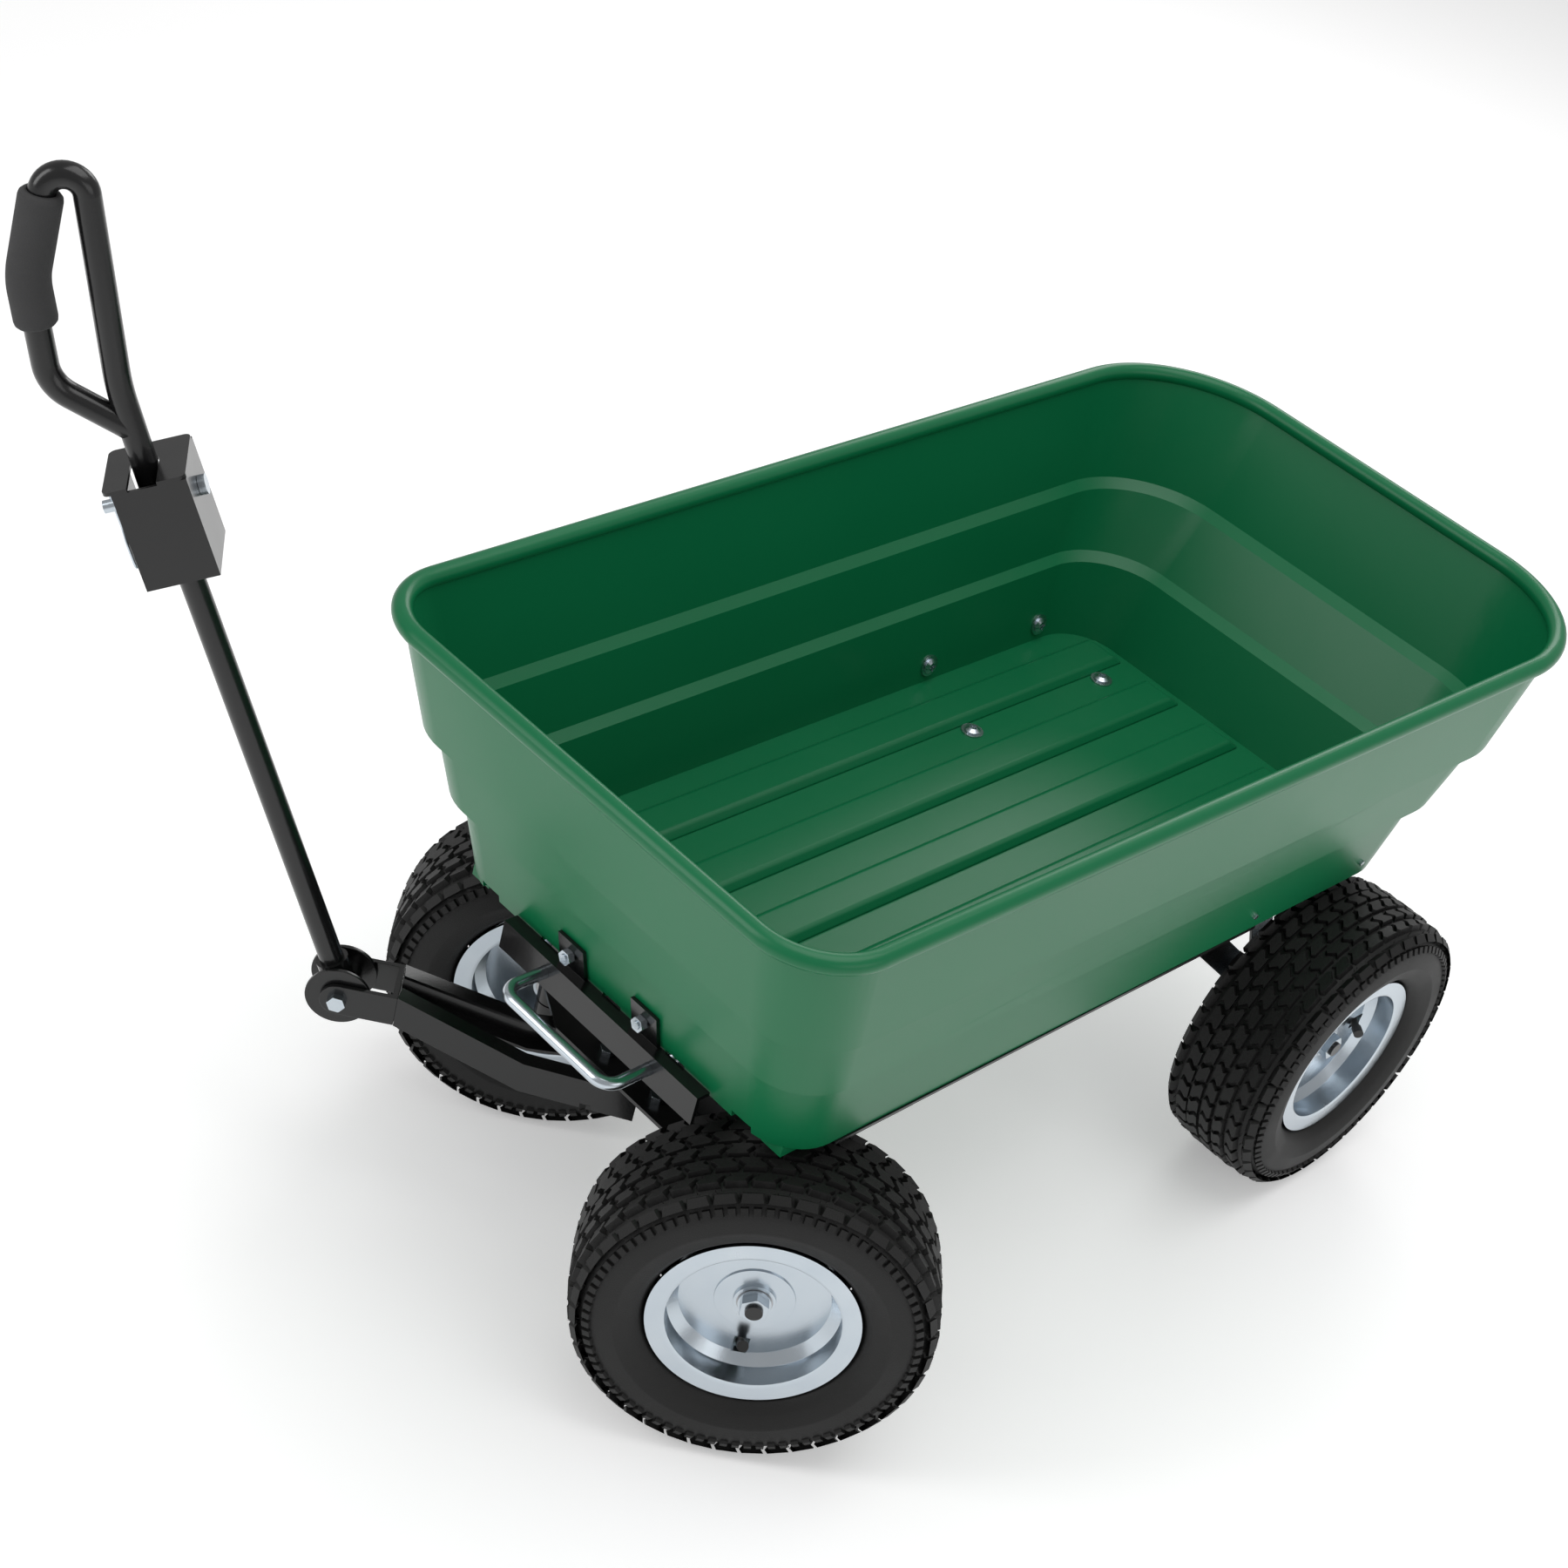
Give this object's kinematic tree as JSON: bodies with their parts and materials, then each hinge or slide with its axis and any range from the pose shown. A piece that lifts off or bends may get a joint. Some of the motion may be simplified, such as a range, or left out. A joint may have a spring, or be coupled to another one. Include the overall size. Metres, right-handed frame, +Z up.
{
  "type": "tow behind cart",
  "caption": "Garden dump cart with a moulded tipping tub on a steel chassis, pneumatic wheels, a steered front axle and a folding pull handle with a hitch box.",
  "frame": {"origin": "on the ground under the middle of the rear axle", "axes": "+X forward towards the pull handle, +Y to the left, +Z up"},
  "size_m": [1.3669, 0.8396, 0.9783],
  "materials": {
    "green": "satin",
    "black_paint": "gloss powder coat",
    "zinc": "bright zinc plate",
    "tyre": "matt",
    "valve_rubber": "matt",
    "foam": "matt foam",
    "bearing": "plain"
  },
  "bodies": {
    "chassis": {"rail_left": "black_paint", "rail_right": "black_paint", "rear_leg_left": "black_paint", "rear_leg_right": "black_paint", "rear_cross": "black_paint", "middle_cross": "black_paint", "front_cross": "black_paint", "bolsters": "black_paint", "axle_beam": "black_paint", "front_plate": "black_paint", "frame_bolts": "zinc", "striker": "black_paint", "steering_bolt": "zinc", "rear_axle": "black_paint", "rear_axle_nuts": "zinc"},
    "tub": {"tub": "green", "tub_screws": "zinc", "hinge_bracket_left": "black_paint", "hinge_bracket_right": "black_paint", "hinge_pins": "zinc", "latch_bracket": "black_paint", "bracket_bolts": "zinc", "latch_springs": "zinc"},
    "latch": {"latch_bar": "zinc", "latch_collars": "zinc"},
    "drawbar": {"drawbar_base": "black_paint", "drawbar_arms": "black_paint", "yoke": "black_paint", "pivot_bolt": "zinc"},
    "tie_bar": {"tie_bar": "black_paint"},
    "knuckle_left": {"knuckle_left": "black_paint", "kingpin_nut_left": "zinc", "front_axle_nut_left": "zinc"},
    "knuckle_right": {"knuckle_right": "black_paint", "kingpin_nut_right": "zinc", "front_axle_nut_right": "zinc"},
    "handle": {"pivot_block": "black_paint", "friction_discs": "black_paint", "handle_tube": "black_paint", "hitch_box": "black_paint", "grip_tube": "black_paint", "foam_grip": "foam"},
    "hitch_pin": {"hitch_pin": "zinc"},
    "r_clip": {"r_clip": "zinc"},
    "wheel_front_left": {"tyre_front_left": "tyre", "rim_front_left": "zinc", "bearings_front_left": "bearing", "valve_front_left": "valve_rubber"},
    "wheel_front_right": {"tyre_front_right": "tyre", "rim_front_right": "zinc", "bearings_front_right": "bearing", "valve_front_right": "valve_rubber"},
    "wheel_rear_left": {"tyre_rear_left": "tyre", "rim_rear_left": "zinc", "bearings_rear_left": "bearing", "valve_rear_left": "valve_rubber"},
    "wheel_rear_right": {"tyre_rear_right": "tyre", "rim_rear_right": "zinc", "bearings_rear_right": "bearing", "valve_rear_right": "valve_rubber"}
  },
  "joints": [
    {"name": "front_left_wheel_spin", "type": "hinge", "parent": "knuckle_left", "child": "wheel_front_left", "pos_m": [0.76499, 0.20996, 0.165], "axis": [0.7193, 0.6947, 0], "continuous": true},
    {"name": "front_right_wheel_spin", "type": "hinge", "parent": "knuckle_right", "child": "wheel_front_right", "pos_m": [0.64701, -0.20996, 0.165], "axis": [0.7193, 0.6947, 0], "continuous": true},
    {"name": "rear_left_wheel_spin", "type": "hinge", "parent": "chassis", "child": "wheel_rear_left", "pos_m": [0, 0.2605, 0.165], "axis": [0, 1, 0], "continuous": true},
    {"name": "rear_right_wheel_spin", "type": "hinge", "parent": "chassis", "child": "wheel_rear_right", "pos_m": [0, -0.2605, 0.165], "axis": [0, 1, 0], "continuous": true},
    {"name": "drawbar_steer", "type": "hinge", "parent": "chassis", "child": "drawbar", "pos_m": [0.706, 0, 0.2], "axis": [0, 0, 1], "range_deg": [-4, 96]},
    {"name": "left_knuckle_steer", "type": "hinge", "parent": "chassis", "child": "knuckle_left", "pos_m": [0.706, 0.153, 0.165], "axis": [0, 0, 1], "range_deg": [-4, 96]},
    {"name": "right_knuckle_steer", "type": "hinge", "parent": "chassis", "child": "knuckle_right", "pos_m": [0.706, -0.153, 0.165], "axis": [0, 0, 1], "range_deg": [-4, 96]},
    {"name": "tie_bar_swing", "type": "hinge", "parent": "drawbar", "child": "tie_bar", "pos_m": [0.65737, 0.05035, 0.192], "axis": [0, 0, 1], "range_deg": [-96, 4]},
    {"name": "handle_pitch", "type": "hinge", "parent": "drawbar", "child": "handle", "pos_m": [0.91648, -0.21796, 0.25], "axis": [0.7193, 0.6947, 0], "range_deg": [-14, 66]},
    {"name": "tub_tip", "type": "hinge", "parent": "chassis", "child": "tub", "pos_m": [-0.07, 0, 0.326], "axis": [0, -1, 0], "range_deg": [0, 70]},
    {"name": "latch_slide", "type": "slide", "parent": "tub", "child": "latch", "axis": [-1, 0, 0], "range_m": [0, 0.022]},
    {"name": "hitch_pin_turn", "type": "hinge", "parent": "handle", "child": "hitch_pin", "pos_m": [1.02661, -0.36663, 0.72112], "axis": [0.7393, -0.5404, -0.4017], "continuous": true},
    {"name": "r_clip_pull", "type": "slide", "parent": "hitch_pin", "child": "r_clip", "axis": [-0.2825, 0.2926, -0.9135], "range_m": [0, 0.019]}
  ],
  "couplings": [
    {"joint": "left_knuckle_steer", "follows": "drawbar_steer", "ratio": 1},
    {"joint": "right_knuckle_steer", "follows": "drawbar_steer", "ratio": 1},
    {"joint": "tie_bar_swing", "follows": "drawbar_steer", "ratio": -1}
  ]
}
